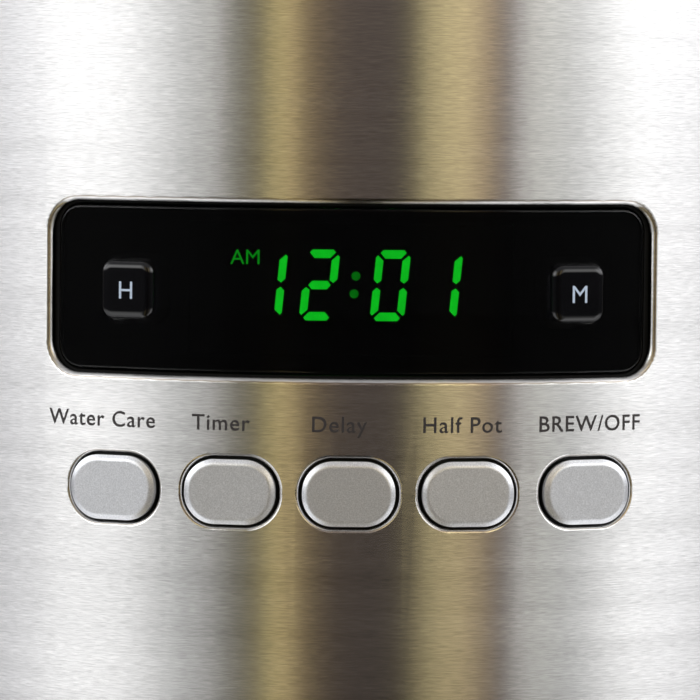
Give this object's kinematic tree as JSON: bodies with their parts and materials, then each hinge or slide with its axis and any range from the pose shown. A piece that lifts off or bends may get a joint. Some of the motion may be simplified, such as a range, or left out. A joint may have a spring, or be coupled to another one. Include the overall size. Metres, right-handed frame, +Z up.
{
  "type": "drip coffee maker",
  "caption": "Drip coffee maker with a curved brushed-steel control head, clock display, swing-out filter basket, glass carafe on a warming plate and a hinged water-tank lid.",
  "frame": {"origin": "middle of the footprint, on the surface the feet stand on", "axes": "+Z up, the control panel faces -Y, +X to the right when facing the panel"},
  "size_m": [0.2, 0.27, 0.384],
  "materials": {
    "black_plastic": "satin black moulded plastic",
    "gloss_black": "polished black",
    "brushed_steel": "horizontal brush lines",
    "satin_silver": "satin metallic silver paint on plastic caps",
    "rubber": "matte black rubber",
    "silicone": "translucent white silicone",
    "plate_coating": "dark non-stick coating",
    "aluminium": "as extruded",
    "zinc_steel": "zinc plated",
    "white_plastic": "natural white polypropylene",
    "grey_plastic": "grey moulded plastic",
    "clear_plastic": "clear moulded plastic",
    "smoked_lens": "black glossy window",
    "glass": "clear borosilicate glass",
    "circuit_board": "green solder mask",
    "charcoal_cloth": "non-woven pouch with charcoal",
    "gold_mesh": "gold-tone fine mesh",
    "led_black": "black display block",
    "porcelain": "white ceramic"
  },
  "bodies": {
    "root": {"rubber_feet": "rubber", "base_pan": "black_plastic", "base_housing": "black_plastic", "base_band": "brushed_steel", "cord_gland": "rubber", "plate_ring": "black_plastic", "warming_plate": "plate_coating", "heater_casting": "aluminium", "heating_element": "zinc_steel", "heater_strap": "zinc_steel", "thermostats": "zinc_steel", "thermal_fuse": "porcelain", "power_board": "circuit_board", "relay": "grey_plastic", "transformer": "zinc_steel", "cold_hose": "silicone", "riser_tube": "silicone", "hose_clips": "zinc_steel", "check_valve": "silicone", "water_tank": "white_plastic", "charcoal_holder": "grey_plastic", "charcoal_pod": "charcoal_cloth", "shower_head": "black_plastic", "column_housing": "black_plastic", "level_window": "clear_plastic", "rear_cover": "black_plastic", "lid_hinge_pins": "zinc_steel", "housing_screws": "zinc_steel", "head_chassis": "black_plastic", "head_housing": "black_plastic", "control_panel": "brushed_steel", "display_lens": "smoked_lens", "lens_gasket": "rubber", "panel_carrier": "led_black", "led_module": "led_black", "control_board": "circuit_board", "tact_switches": "grey_plastic", "panel_screws": "zinc_steel", "top_deck": "black_plastic", "basket_hinge_pin": "zinc_steel"},
    "tank_lid": {"tank_lid": "black_plastic"},
    "basket": {"basket_holder": "black_plastic", "filter_basket": "black_plastic", "mesh_filter_frame": "black_plastic", "mesh_filter_screen": "gold_mesh", "valve_spring": "zinc_steel"},
    "drip_stop": {"drip_valve": "grey_plastic"},
    "carafe": {"carafe_glass": "glass", "carafe_band": "brushed_steel", "carafe_handle": "black_plastic", "handle_screws": "zinc_steel"},
    "carafe_lid": {"carafe_lid": "black_plastic"},
    "filter_reset_key": {"button_filter_reset": "satin_silver"},
    "prog_key": {"button_prog": "satin_silver"},
    "auto_on_key": {"button_auto_on": "satin_silver"},
    "cups_key": {"button_cups": "satin_silver"},
    "start_stop_key": {"button_start_stop": "satin_silver"},
    "hour": {"hour_key": "gloss_black"},
    "minute": {"minute_key": "gloss_black"}
  },
  "joints": [
    {"name": "tank_lid_hinge", "type": "hinge", "parent": "root", "child": "tank_lid", "pos_m": [0, 0.121, 0.38], "axis": [-1, 0, 0], "range_deg": [0, 100]},
    {"name": "basket_swing", "type": "hinge", "parent": "root", "child": "basket", "pos_m": [-0.082, -0.033, 0.22], "axis": [0, 0, -1], "range_deg": [0, 100]},
    {"name": "drip_stop_lift", "type": "slide", "parent": "basket", "child": "drip_stop", "axis": [0, 0, 1], "range_m": [0, 0.003], "stiffness_N_per_m": 150, "springref_m": -0.003, "deforming": ["valve_spring"]},
    {"name": "carafe_slide", "type": "slide", "parent": "root", "child": "carafe", "axis": [0, -1, 0], "range_m": [0, 0.2]},
    {"name": "carafe_lid_twist", "type": "hinge", "parent": "carafe", "child": "carafe_lid", "pos_m": [0, -0.015, 0.175], "axis": [0, 0, 1], "range_deg": [0, 30]},
    {"name": "filter_reset_key_press", "type": "slide", "parent": "root", "child": "filter_reset_key", "axis": [0.3834, 0.9236, 0], "range_m": [0, 0.0012], "stiffness_N_per_m": 300, "springref_m": -0.001},
    {"name": "prog_key_press", "type": "slide", "parent": "root", "child": "prog_key", "axis": [0.1917, 0.9815, 0], "range_m": [0, 0.0012], "stiffness_N_per_m": 300, "springref_m": -0.001},
    {"name": "auto_on_key_press", "type": "slide", "parent": "root", "child": "auto_on_key", "axis": [0, 1, 0], "range_m": [0, 0.0012], "stiffness_N_per_m": 300, "springref_m": -0.001},
    {"name": "cups_key_press", "type": "slide", "parent": "root", "child": "cups_key", "axis": [-0.1917, 0.9815, 0], "range_m": [0, 0.0012], "stiffness_N_per_m": 300, "springref_m": -0.001},
    {"name": "start_stop_key_press", "type": "slide", "parent": "root", "child": "start_stop_key", "axis": [-0.3834, 0.9236, 0], "range_m": [0, 0.0012], "stiffness_N_per_m": 300, "springref_m": -0.001},
    {"name": "hour_press", "type": "slide", "parent": "root", "child": "hour", "axis": [0.3584, 0.9336, 0], "range_m": [0, 0.001], "stiffness_N_per_m": 300, "springref_m": -0.001},
    {"name": "minute_press", "type": "slide", "parent": "root", "child": "minute", "axis": [-0.3641, 0.9314, 0], "range_m": [0, 0.001], "stiffness_N_per_m": 300, "springref_m": -0.001}
  ]
}
